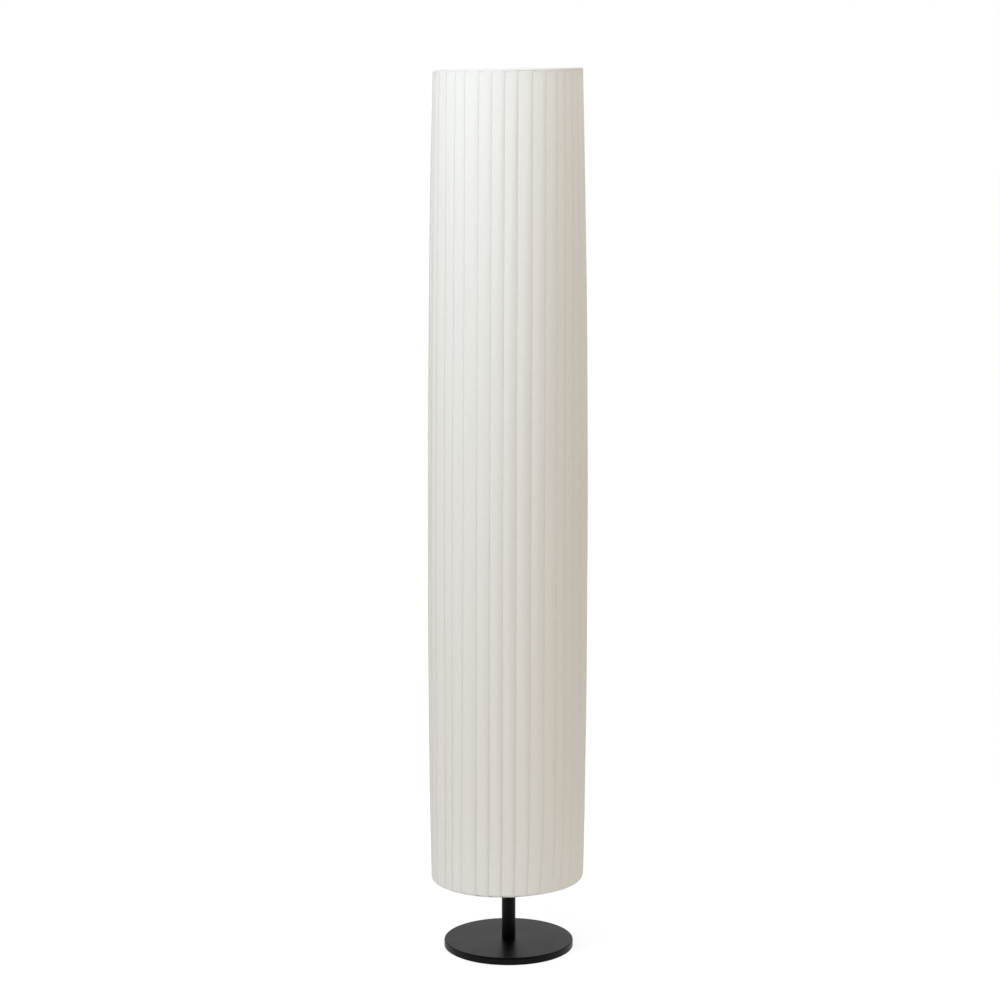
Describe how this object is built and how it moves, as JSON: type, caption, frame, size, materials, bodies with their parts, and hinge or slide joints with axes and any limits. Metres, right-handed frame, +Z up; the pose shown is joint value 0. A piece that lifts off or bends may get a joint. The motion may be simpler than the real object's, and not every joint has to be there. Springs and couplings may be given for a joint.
{
  "type": "pleated column floor lamp",
  "caption": "Tall slim column lamp: a pleated white cloth shade over a wire frame, on a short black tube post and a thin round black base.",
  "frame": {"origin": "centre of the base's footprint, on the floor", "axes": "+Z up along the post; the front of the lamp faces -Y and the cord inlet faces +Y"},
  "size_m": [0.2162, 0.2162, 1.2],
  "materials": {
    "black_powder_coat": "fine matt black powder coat on steel",
    "zinc_plated_steel": "bright zinc plate, slightly dull",
    "brass": "turned brass, unpolished",
    "white_enamel": "satin white enamel on steel wire",
    "pleated_cloth": "fine plain-woven polyester, knife-pleated and pressed",
    "pad_foam": "thin closed-cell foam, matt",
    "black_plastic": "moulded black thermoset, satin",
    "porcelain": "white glazed porcelain",
    "bulb_cap_metal": "rolled nickel-plated screw cap",
    "white_plastic": "smooth white plastic over the heat sink",
    "opal_plastic": "opal diffuser, satin",
    "cable_sheath": "soft white cable sheath"
  },
  "bodies": {
    "stand": {"base_pad": "pad_foam", "base_plate": "black_powder_coat", "base_screw": "zinc_plated_steel", "lower_tube": "black_powder_coat", "middle_tube": "zinc_plated_steel", "upper_tube": "zinc_plated_steel", "foot_bush": "zinc_plated_steel", "tube_bushes": "zinc_plated_steel", "tube_nipples": "brass", "top_stud": "zinc_plated_steel", "cord_inlet_bushing": "black_plastic", "lower_bracket": "zinc_plated_steel", "upper_bracket": "zinc_plated_steel", "post_cable": "cable_sheath", "lower_lead": "cable_sheath", "upper_lead": "cable_sheath", "holder_nipples": "brass", "holder_nuts": "zinc_plated_steel", "lower_holder_foot": "black_plastic", "lower_holder_skirt": "black_plastic", "lower_holder_core": "porcelain", "lower_holder_contacts": "brass", "upper_holder_foot": "black_plastic", "upper_holder_skirt": "black_plastic", "upper_holder_core": "porcelain", "upper_holder_contacts": "brass"},
    "lower_bulb": {"lower_bulb_cap": "bulb_cap_metal", "lower_bulb_collar": "white_plastic", "lower_bulb_globe": "opal_plastic"},
    "upper_bulb": {"upper_bulb_cap": "bulb_cap_metal", "upper_bulb_collar": "white_plastic", "upper_bulb_globe": "opal_plastic"},
    "shade": {"top_ring": "white_enamel", "middle_ring": "white_enamel", "bottom_ring": "white_enamel", "shade_rods": "white_enamel", "spider": "white_enamel", "spider_washer": "zinc_plated_steel", "pleated_sleeve": "pleated_cloth", "top_hem": "pleated_cloth", "bottom_hem": "pleated_cloth"},
    "top_nut": {"cap_nut": "zinc_plated_steel"}
  },
  "joints": [
    {"name": "shade_lift", "type": "slide", "parent": "stand", "child": "shade", "axis": [0, 0, 1], "range_m": [0, 1.1]},
    {"name": "cap_nut_turn", "type": "hinge", "parent": "shade", "child": "top_nut", "pos_m": [0, 0, 1.1735], "axis": [0, 0, 1], "continuous": true},
    {"name": "lower_bulb_turn", "type": "hinge", "parent": "stand", "child": "lower_bulb", "pos_m": [0.0455, 0, 0.3], "axis": [0, 0, 1], "continuous": true},
    {"name": "upper_bulb_turn", "type": "hinge", "parent": "stand", "child": "upper_bulb", "pos_m": [-0.0455, 0, 0.84], "axis": [0, 0, 1], "continuous": true}
  ]
}
